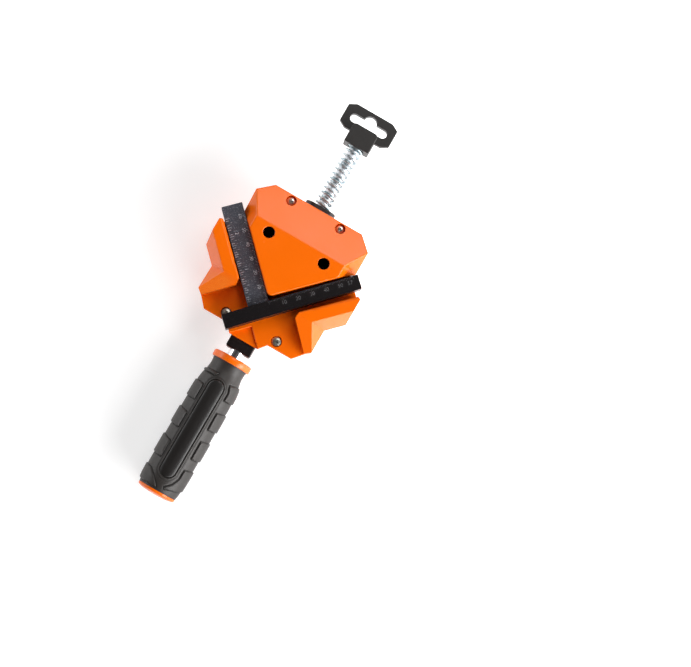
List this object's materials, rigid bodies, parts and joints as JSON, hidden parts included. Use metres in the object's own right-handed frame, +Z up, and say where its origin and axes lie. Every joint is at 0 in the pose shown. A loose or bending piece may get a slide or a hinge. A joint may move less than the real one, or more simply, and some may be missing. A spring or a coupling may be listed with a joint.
{
  "type": "screw-driven corner clamp",
  "caption": "Bench corner clamp: a fixed V block, a sliding jaw casting drawn up by a screw with a rubber grip, a return spring, a hanging tab and ruled bars in the jaws.",
  "frame": {"origin": "on the bench plane, midway between the two bench bolt holes", "axes": "+X across the clamp, +Y along the screw from the handle to the hanging tab, +Z up from the bench"},
  "size_m": [0.114, 0.305, 0.0475],
  "materials": {
    "orange_casting": "orange powder coat on die-cast metal",
    "black_steel": "satin black",
    "bright_steel": "polished",
    "zinc_screw": "zinc plated",
    "spring_steel": "zinc plated",
    "bronze": "plain bearing bronze",
    "orange_plastic": "satin",
    "grip_rubber": "matt with raised pads",
    "panel_plastic": "smooth",
    "tab_plastic": "fine grain",
    "black_aluminium": "black anodised, ruled"
  },
  "bodies": {
    "base": {"centre_block": "orange_casting", "guide_plate": "black_steel", "block_screws": "zinc_screw", "plate_screws": "zinc_screw", "screw_nut": "black_steel", "nut_pins": "bright_steel", "return_spring": "spring_steel"},
    "carriage": {"jaw_casting": "orange_casting", "thrust_block": "black_steel", "thrust_bush": "bronze", "floor_screws": "zinc_screw", "keeper_left": "black_steel", "keeper_right": "black_steel", "keeper_screws": "zinc_screw"},
    "spindle": {"lead_screw": "bright_steel", "front_washer": "bronze", "rear_washer": "bronze", "snap_ring": "bright_steel", "handle_core": "orange_plastic", "grip_sleeve": "grip_rubber", "grip_panels": "panel_plastic", "handle_end_cap": "orange_plastic", "handle_pin": "bright_steel", "tab_washer": "zinc_screw", "lock_nut": "zinc_screw"},
    "hang_tab": {"hang_tab": "tab_plastic"},
    "long_bar": {"long_bar": "black_aluminium"},
    "short_bar": {"short_bar": "black_aluminium"}
  },
  "joints": [
    {"name": "jaw_slide", "type": "slide", "parent": "base", "child": "carriage", "axis": [0, -1, 0], "range_m": [0, 0.027], "deforming": ["return_spring"]},
    {"name": "handle_turn", "type": "hinge", "parent": "carriage", "child": "spindle", "pos_m": [0, 0, 0.02], "axis": [0, -1, 0], "range_deg": [0, 3240]},
    {"name": "tab_turn", "type": "hinge", "parent": "carriage", "child": "hang_tab", "pos_m": [0, 0, 0.02], "axis": [0, 1, 0], "continuous": true},
    {"name": "long_bar_lift", "type": "slide", "parent": "carriage", "child": "long_bar", "axis": [0, 0, 1], "range_m": [0, 0.05]},
    {"name": "short_bar_lift", "type": "slide", "parent": "carriage", "child": "short_bar", "axis": [0, 0, 1], "range_m": [0, 0.05]}
  ],
  "couplings": [
    {"joint": "handle_turn", "follows": "jaw_slide", "rad_per_m": 2094.4}
  ]
}
